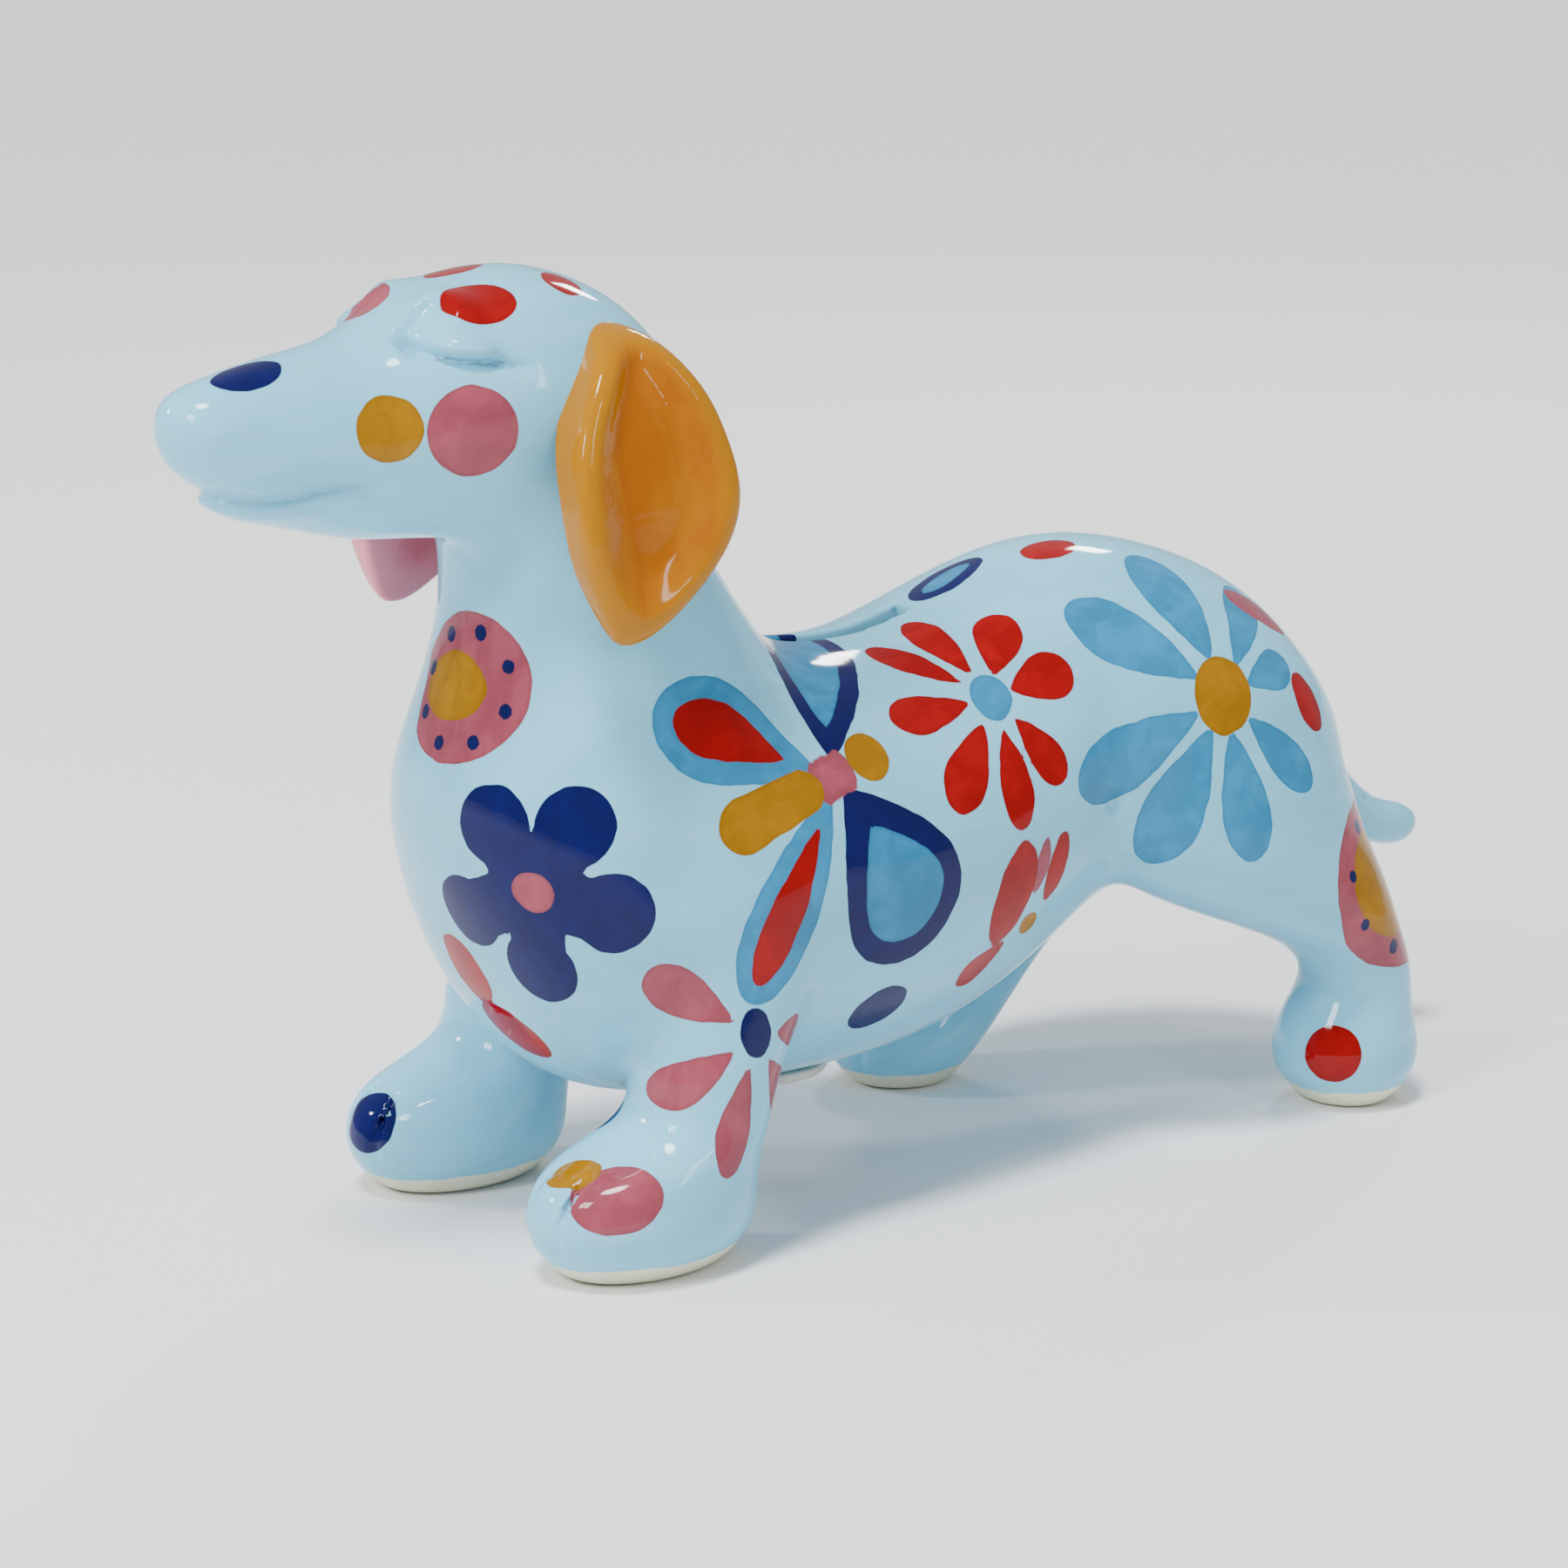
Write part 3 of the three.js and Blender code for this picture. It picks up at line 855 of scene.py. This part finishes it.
class Nodes:
    """A short way to write a material's node tree."""

    def __init__(self, name):
        self.material = bpy.data.materials.new(name)
        self.material.use_nodes = True
        self.tree = self.material.node_tree
        self.shader = self.tree.nodes["Principled BSDF"]
        coordinates = self.tree.nodes.new("ShaderNodeTexCoord")
        self.place = coordinates.outputs["Object"]

    def link(self, value, socket):
        if isinstance(value, bpy.types.NodeSocket):
            self.tree.links.new(value, socket)
        else:
            socket.default_value = value

    def math(self, kind, a, b=0.0, c=0.0):
        node = self.tree.nodes.new("ShaderNodeMath")
        node.operation = kind
        for socket, value in zip(node.inputs, (a, b, c)):
            self.link(value, socket)
        return node.outputs[0]

    def noise(self, size_mm, detail=2.0, stretch=(1, 1, 1), roughness=0.5, distortion=0.0):
        mapping = self.tree.nodes.new("ShaderNodeMapping")
        mapping.inputs["Scale"].default_value = [s / (size_mm * MM) for s in stretch]
        self.tree.links.new(self.place, mapping.inputs["Vector"])
        node = self.tree.nodes.new("ShaderNodeTexNoise")
        node.inputs["Scale"].default_value = 1.0
        node.inputs["Detail"].default_value = detail
        node.inputs["Roughness"].default_value = roughness
        node.inputs["Distortion"].default_value = distortion
        self.tree.links.new(mapping.outputs[0], node.inputs["Vector"])
        return node.outputs[0]

    def ramp(self, value, low, high, to_low=0.0, to_high=1.0, smooth=True):
        node = self.tree.nodes.new("ShaderNodeMapRange")
        node.interpolation_type = "SMOOTHSTEP" if smooth else "LINEAR"
        for socket, number in zip(node.inputs, (value, low, high, to_low, to_high)):
            self.link(number, socket)
        return node.outputs[0]

    def mix(self, factor, a, b, blend="MIX"):
        node = self.tree.nodes.new("ShaderNodeMix")
        node.data_type, node.blend_type = "RGBA", blend
        self.link(factor, node.inputs["Factor"])
        self.link(a, node.inputs["A"])
        self.link(b, node.inputs["B"])
        return node.outputs["Result"]

    def attribute(self, name):
        node = self.tree.nodes.new("ShaderNodeAttribute")
        node.attribute_name = name
        return node.outputs["Fac"]

    def height(self):
        node = self.tree.nodes.new("ShaderNodeSeparateXYZ")
        self.tree.links.new(self.place, node.inputs[0])
        return self.math("DIVIDE", node.outputs["Z"], MM)

    def bump(self, height, strength, depth_mm):
        node = self.tree.nodes.new("ShaderNodeBump")
        node.inputs["Strength"].default_value = strength
        node.inputs["Distance"].default_value = depth_mm * MM
        self.link(height, node.inputs["Height"])
        self.tree.links.new(node.outputs[0], self.shader.inputs["Normal"])

    def set(self, **values):
        names = {"coat": "Coat Weight", "coat_roughness": "Coat Roughness", "ior": "IOR",
                 "roughness": "Roughness", "colour": "Base Color", "metallic": "Metallic",
                 "specular": "Specular IOR Level"}
        for key, value in values.items():
            self.link(value, self.shader.inputs[names[key]])


def darker(colour, amount):
    return (*[c * amount for c in colour[:3]], 1.0)


def lighter(colour, amount):
    return (*[c + (1 - c) * amount for c in colour[:3]], 1.0)


def painted_glaze():
    """Pale blue glaze with every paint laid over it, and bare clay under the paws."""
    n = Nodes("painted_glaze")
    wash = n.noise(26, 3, (1, 0.45, 1.2), 0.55, 0.4)
    streak = n.noise(7, 2, (1.4, 0.25, 1.4), 0.6)
    tone = n.ramp(wash, 0.36, 0.66)
    colour = n.mix(tone, darker(COLOURS["base"], 0.94), darker(COLOURS["base"], 1.06))
    colour = n.mix(n.ramp(streak, 0.45, 0.75, 0, 0.5), colour, lighter(COLOURS["base"], 0.08))
    colour = n.mix(n.ramp(n.attribute("hollow"), 0.05, 0.5, 0, 0.75), colour, darker(COLOURS["base"], 0.55))
    wobble = n.math("MULTIPLY", n.math("SUBTRACT", n.noise(5, 1), 0.5), 0.9)
    strokes = n.noise(4.5, 3, (1, 0.5, 0.5), 0.6, 0.6)
    for paint in PAINTS:
        edge = n.math("ADD", n.attribute(paint), wobble)
        inside = n.ramp(edge, 0.12, -0.12)
        thin = n.mix(n.ramp(strokes, 0.35, 0.7), darker(COLOURS[paint], 0.86), darker(COLOURS[paint], 1.12))
        rim = n.mix(n.ramp(edge, -0.9, -0.1, 0, 0.45), thin, darker(COLOURS[paint], 0.7))
        colour = n.mix(inside, colour, rim)
    low = n.math("ADD", n.height(), n.math("MULTIPLY", n.math("SUBTRACT", n.noise(9, 2), 0.5), 2.2))
    bare = n.ramp(low, 4.6, 4.0)
    speck = n.noise(0.9, 2)
    clay = n.mix(n.ramp(speck, 0.4, 0.7), COLOURS["clay"], darker(COLOURS["clay"], 0.9))
    n.set(colour=n.mix(bare, colour, clay), roughness=n.ramp(bare, 0, 1, 0.07, 0.62), ior=1.5, specular=0.22)
    n.bump(n.math("ADD", n.noise(14, 2), n.math("MULTIPLY", n.noise(3, 1), 0.12)), 0.35, 0.35)
    return n.material


def plain_glaze(name, colour, deep, rim):
    """One coloured glaze with brushed variation, lighter along the rim, darker where the surface dips
    inwards.
    """
    n = Nodes(name)
    strokes = n.noise(9, 3, (1, 1, 0.35), 0.6, 0.6)
    tone = n.mix(n.ramp(strokes, 0.35, 0.68), deep, colour)
    edge = n.math("ADD", n.attribute("rim"), n.math("MULTIPLY", n.noise(12, 1), 3.0))
    tone = n.mix(n.ramp(edge, 3.2, 7.2, 1.0, 0.0), tone, rim)
    tone = n.mix(n.ramp(n.attribute("hollow"), 0.03, 0.4, 0, 0.8), tone, darker(deep, 0.75))
    n.set(colour=tone, roughness=0.07, ior=1.5, specular=0.22)
    n.bump(n.noise(9, 2), 0.4, 0.35)
    return n.material


def clay_lining():
    n = Nodes("clay_lining")
    tone = n.mix(n.ramp(n.noise(12, 4), 0.35, 0.7), COLOURS["clay"], darker(COLOURS["clay"], 0.8))
    n.set(colour=tone, roughness=0.75)
    n.bump(n.noise(1.5, 3), 0.4, 0.3)
    return n.material


def stopper_rubber():
    n = Nodes("stopper_rubber")
    tone = n.mix(n.ramp(n.noise(5, 4), 0.35, 0.7), (0.66, 0.64, 0.56, 1), (0.5, 0.48, 0.41, 1))
    n.set(colour=tone, roughness=n.ramp(n.noise(3, 3), 0.3, 0.7, 0.45, 0.62))
    n.bump(n.noise(0.8, 3), 0.25, 0.1)
    return n.material


# ---------------------------------------------------------------- pieces
def add_hollow_value(mesh, step):
    """How sharply the surface dips inwards at each point; the glazes are made darker there."""
    edges = np.concatenate([mesh.faces[:, [i, (i + 1) % 4]] for i in range(4)])
    count = np.maximum(np.bincount(edges[:, 0], minlength=len(mesh.points)), 1)

    def average(values):
        return np.bincount(edges[:, 0], values[edges[:, 1]], len(mesh.points)) / count

    mean = np.stack([average(mesh.points[:, k]) for k in range(3)], 1)
    dip = ((mean - mesh.points) * mesh.normals).sum(1) / step**2
    for _ in range(3):
        dip = 0.5 * dip + 0.5 * average(dip)
    mesh.values["hollow"] = dip * 2


def neck_side(points):
    return points[:, 2] - NECK_CUT["z"] - NECK_CUT["tilt"] * (points[:, 1] - NECK_CUT["y"])


def casting_fields():
    """For each casting but the torso, a field that is negative on its share of the skin."""
    fields = {
        "head_shell": lambda p: np.maximum(-neck_side(p), np.minimum(neck(p), head(p)) - trunk(p) - 2),
        "tail": lambda p: tail(p) - trunk(p),
    }
    for name, leg in LEGS.items():
        fields[name] = lambda p, leg=leg: leg(p) - trunk_and_neck(p)
    return fields


def build_skin():
    """The dog's outside as one mesh, and the casting that each face belongs to."""
    low, high = (np.array(c) / MM for c in CAD_BOX)
    points, faces = surface(whole, low - 4, high + 4, SKIN_STEP)
    points, normals = settle(whole, points, faces, SKIN_STEP)
    fields = casting_fields()
    owner = np.zeros(len(points), int)
    names = ["torso_shell", *fields]
    for k, name in enumerate(names[1:], 1):
        owner[fields[name](points) < 0] = k
    face_owner = np.sort(owner[faces], axis=1)[:, 2]
    for k, name in enumerate(names[1:], 1):
        mine = np.unique(faces[face_owner == k])
        others = np.unique(faces[face_owner != k])
        border = np.intersect1d(mine, others)
        g = slope(fields[name], points[border])
        g -= (g * normals[border]).sum(1, keepdims=True) * normals[border]
        move = -fields[name](points[border])[:, None] * g / np.maximum((g * g).sum(1), 0.05)[:, None]
        far = np.linalg.norm(move, axis=1, keepdims=True)
        points[border] += move * np.minimum(1, SKIN_STEP * 0.7 / np.maximum(far, 1e-9))
    lay = slope(whole, points)
    points -= whole(points)[:, None] * lay / np.maximum((lay * lay).sum(1), 1e-6)[:, None]
    lay = slope(whole, points)
    mesh = Mesh(points, faces, lay / np.linalg.norm(lay, axis=1, keepdims=True))
    return mesh, names, face_owner


def keep_outer(mesh):
    """Faces that aren't the blind ends of the slot and the stopper's hole."""
    middle = mesh.points[mesh.faces].mean(1)
    deep = melt(trunk_and_neck(middle), skull(middle), 9) < -WALL - 2.5
    return ~deep


def make_castings():
    mesh, names, owner = build_skin()
    add_hollow_value(mesh, SKIN_STEP)
    paint_dog(Painter(mesh))
    material = painted_glaze()
    kept = keep_outer(mesh)
    for k, name in enumerate(names):
        piece = mesh.part(kept & (owner == k)).to_object(name + "_glazed", material)
        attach(piece, "bank")
        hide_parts(name)


def make_lining():
    low, high = (np.array(c) / MM for c in CAD_BOX)
    points, faces = surface(hollow, low, high, LINING_STEP)
    points, normals = settle(hollow, points, faces, LINING_STEP)
    mesh = Mesh(points, faces[:, ::-1], -normals)
    middle = points[faces].mean(1)
    off_axis = np.hypot(middle[:, 0], middle[:, 1] - STOPPER_Y)
    hole = np.maximum(off_axis - HOLE_RADIUS, middle[:, 2] - SEAT_Z - 12)
    piece = mesh.part(np.minimum(slot_cut(middle), hole) > 0).to_object("clay_lining", clay_lining())
    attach(piece, "bank")


def make_ear(name, colour, deep, rim):
    field = ear_shape(name)
    low, high = (np.array(c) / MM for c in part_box(name))
    points, faces = surface(field, low - 3, high + 3, EAR_STEP)
    points, normals = settle(field, points, faces, EAR_STEP)
    mesh = Mesh(points, faces, normals)
    add_hollow_value(mesh, EAR_STEP)
    mesh.values["rim"] = ear_rim(name, points)
    piece = mesh.to_object(name + "_glazed", plain_glaze(name + "_glaze", colour, deep, rim))
    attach(piece, "bank")
    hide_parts(name)


def round_step(r0, z0, r1, z1, steps=5):
    """A smooth step in a lathe profile."""
    made = []
    for k in range(steps + 1):
        t = k / steps
        ease = t * t * (3 - 2 * t)
        made.append((r0 + (r1 - r0) * t, z0 + (z1 - z0) * ease))
    return made


def stopper_profile(radius, bottom, top):
    """From the axis out and back: a flange with a raised grip, then a ribbed hollow barrel."""
    flange_top = SEAT_Z * MM - 0.3 * MM
    barrel = radius - 3.4 * MM
    dished = bottom + 0.9 * MM
    profile = [(0.0, dished), (4.5 * MM, dished)]
    profile += round_step(5.2 * MM, dished, 6.6 * MM, bottom)
    profile += [
        (radius - 1.6 * MM, bottom),
        (radius - 0.5 * MM, bottom + 0.35 * MM),
        (radius, bottom + 1.2 * MM),
        (radius, flange_top - 0.4 * MM),
        (radius - 0.4 * MM, flange_top),
        (barrel + 0.4 * MM, flange_top),
    ]
    ribs = 3
    for k in range(ribs):
        z = flange_top + (k + 0.6) * (top - flange_top) / (ribs + 0.6)
        profile += [(barrel - 0.5 * MM, z), (barrel, z + 0.7 * MM), (barrel - 0.5 * MM, z + 1.4 * MM)]
    floor = flange_top + 0.6 * MM
    profile += [
        (barrel - 1.2 * MM, top),
        (barrel - 2.6 * MM, top),
        (barrel - 3.2 * MM, top - 0.8 * MM),
        (barrel - 3.2 * MM, floor),
        (0.0, floor),
    ]
    return profile


def lathe(name, profile, centre_y, turns=96):
    """A closed mesh by turning a profile of (radius, z) about an upright axis."""
    points, faces = [], []
    for r, z in profile:
        for k in range(turns):
            a = 2 * math.pi * k / turns
            points.append((r * math.cos(a), centre_y + r * math.sin(a), z))
    for i in range(len(profile) - 1):
        for k in range(turns):
            n = (k + 1) % turns
            faces.append((i * turns + k, i * turns + n, (i + 1) * turns + n, (i + 1) * turns + k))
    mesh = bpy.data.meshes.new(name)
    mesh.from_pydata(points, [], faces)
    work = bmesh.new()
    work.from_mesh(mesh)
    bmesh.ops.remove_doubles(work, verts=work.verts, dist=1e-6)
    bmesh.ops.recalc_face_normals(work, faces=work.faces)
    work.to_mesh(mesh)
    work.free()
    mesh.shade_smooth()
    return mesh


def make_stopper():
    low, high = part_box("belly_stopper")
    profile = stopper_profile((high.x - low.x) / 2, low.z, high.z)
    mesh = lathe("stopper", profile, STOPPER_Y * MM)
    mesh.materials.append(stopper_rubber())
    piece = bpy.data.objects.new("stopper", mesh)
    bpy.context.scene.collection.objects.link(piece)
    soft = piece.modifiers.new("soft", "SUBSURF")
    soft.levels = soft.render_levels = 1
    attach(piece, "stopper")
    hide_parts("belly_stopper")


# ---------------------------------------------------------------- stage, light and camera
def towards(azimuth, elevation):
    """The direction out to a place round the dog: azimuth 0 is before its nose, 90 on its left."""
    a, e = math.radians(azimuth), math.radians(elevation)
    return Vector((math.sin(a) * math.cos(e), -math.cos(a) * math.cos(e), math.sin(e)))


def make_floor():
    reach = 6.0
    mesh = bpy.data.meshes.new("floor")
    corners = [(-reach, -reach, 0), (reach, -reach, 0), (reach, reach, 0), (-reach, reach, 0)]
    mesh.from_pydata(corners, [], [(0, 1, 2, 3)])
    n = Nodes("pale_floor")
    n.set(colour=(0.86, 0.86, 0.86, 1), roughness=0.7, specular=0.2)
    mesh.materials.append(n.material)
    floor = bpy.data.objects.new("floor", mesh)
    bpy.context.scene.collection.objects.link(floor)


# name, azimuth, elevation, distance, (width, height), power
SOFTBOXES = [
    ("front", -40, 28, 1.3, (0.13, 0.13), 5),
    ("window_left", 12, 38, 1.2, (0.09, 0.28), 4),
    ("window_right", 19, 38, 1.2, (0.09, 0.28), 4),
    ("side", 100, 32, 1.2, (0.08, 0.45), 2),
    ("back", -140, 34, 1.4, (0.16, 0.16), 4),
]


def make_light(name, azimuth, elevation, distance, size, power, aim=(0, 0, 0.09)):
    light = bpy.data.lights.new(name, "AREA")
    light.shape, light.size, light.size_y, light.energy = "RECTANGLE", size[0], size[1], power
    back = towards(azimuth, elevation)
    lamp = bpy.data.objects.new(name, light)
    lamp.location = Vector(aim) + back * distance
    lamp.rotation_euler = (-back).to_track_quat("-Z", "Y").to_euler()
    bpy.context.scene.collection.objects.link(lamp)


def make_sun(name, azimuth, elevation, spread, strength):
    light = bpy.data.lights.new(name, "SUN")
    light.angle, light.energy = math.radians(spread), strength
    back = towards(azimuth, elevation)
    lamp = bpy.data.objects.new(name, light)
    lamp.rotation_euler = (-back).to_track_quat("-Z", "Y").to_euler()
    bpy.context.scene.collection.objects.link(lamp)


def make_world():
    world = bpy.data.worlds.new("studio")
    world.use_nodes = True
    background = world.node_tree.nodes["Background"]
    background.inputs["Color"].default_value = (0.93, 0.96, 1.0, 1)
    background.inputs["Strength"].default_value = 0.52
    bpy.context.scene.world = world


def make_camera():
    azimuth, elevation, distance = 53.9, 13.6, 899.7 * MM
    target = Vector((0, -17.9 * MM, 79.4 * MM))
    back = towards(azimuth, elevation)
    camera = bpy.data.objects.new("camera", bpy.data.cameras.new("camera"))
    camera.data.lens = 103.6
    camera.data.clip_start = 0.01
    camera.location = target + back * distance
    camera.rotation_euler = (-back).to_track_quat("-Z", "Y").to_euler()
    bpy.context.scene.collection.objects.link(camera)
    bpy.context.scene.camera = camera


make_camera()
make_floor()
make_world()
make_sun("overhead", 20, 74, 13, 3.4)
for light in SOFTBOXES:
    make_light(*light)

make_castings()
make_lining()
for ear_name, ear_colours in EAR_COLOURS.items():
    make_ear(ear_name, *ear_colours)
make_stopper()
